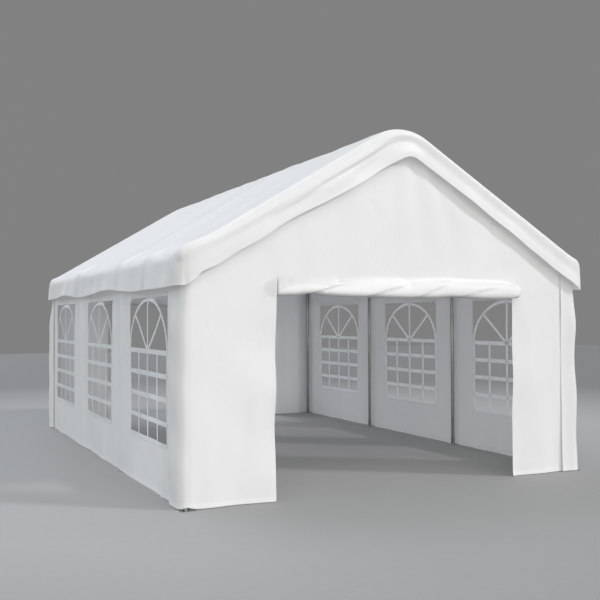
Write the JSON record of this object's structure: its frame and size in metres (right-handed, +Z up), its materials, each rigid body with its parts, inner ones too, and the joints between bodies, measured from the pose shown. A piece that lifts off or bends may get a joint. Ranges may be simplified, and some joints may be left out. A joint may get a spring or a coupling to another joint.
{
  "type": "marquee tent",
  "caption": "White pitched-roof party marquee on a steel tube frame, with arched clear windows along the sides and an open doorway with a rolled-up door at each end.",
  "frame": {"origin": "on the ground at the middle of the tent's footprint", "axes": "+Z up, +Y along the ridge towards the back end, +X towards the right side wall; the end that the picture shows is at -Y"},
  "size_m": [4.1, 6.1806, 3.1701],
  "materials": {
    "coated_steel": "smooth light grey coating",
    "fitting_steel": "smooth grey coating",
    "white_fabric": "white woven sheet with a soft sheen",
    "clear_film": "clear flexible film"
  },
  "bodies": {
    "root": {"post_left_1": "coated_steel", "post_left_2": "coated_steel", "post_left_3": "coated_steel", "post_left_4": "coated_steel", "post_right_1": "coated_steel", "post_right_2": "coated_steel", "post_right_3": "coated_steel", "post_right_4": "coated_steel", "rafter_left_1": "coated_steel", "rafter_left_2": "coated_steel", "rafter_left_3": "coated_steel", "rafter_left_4": "coated_steel", "rafter_right_1": "coated_steel", "rafter_right_2": "coated_steel", "rafter_right_3": "coated_steel", "rafter_right_4": "coated_steel", "eave_fitting_left_1": "fitting_steel", "eave_fitting_left_2": "fitting_steel", "eave_fitting_left_3": "fitting_steel", "eave_fitting_left_4": "fitting_steel", "eave_fitting_right_1": "fitting_steel", "eave_fitting_right_2": "fitting_steel", "eave_fitting_right_3": "fitting_steel", "eave_fitting_right_4": "fitting_steel", "ridge_fitting_1": "fitting_steel", "ridge_fitting_2": "fitting_steel", "ridge_fitting_3": "fitting_steel", "ridge_fitting_4": "fitting_steel", "eave_purlin_left_1": "coated_steel", "eave_purlin_left_2": "coated_steel", "eave_purlin_left_3": "coated_steel", "eave_purlin_right_1": "coated_steel", "eave_purlin_right_2": "coated_steel", "eave_purlin_right_3": "coated_steel", "ridge_purlin_1": "coated_steel", "ridge_purlin_2": "coated_steel", "ridge_purlin_3": "coated_steel", "roof_cover": "white_fabric", "front_wall_left": "white_fabric", "front_wall_right": "white_fabric", "front_gable": "white_fabric", "front_door_roll": "white_fabric", "back_wall_left": "white_fabric", "back_wall_right": "white_fabric", "back_gable": "white_fabric", "back_door_roll": "white_fabric", "left_wall": "white_fabric", "right_wall": "white_fabric", "window_pane_left_1": "clear_film", "window_pane_left_2": "clear_film", "window_pane_left_3": "clear_film", "window_pane_right_1": "clear_film", "window_pane_right_2": "clear_film", "window_pane_right_3": "clear_film"}
  },
  "joints": []
}
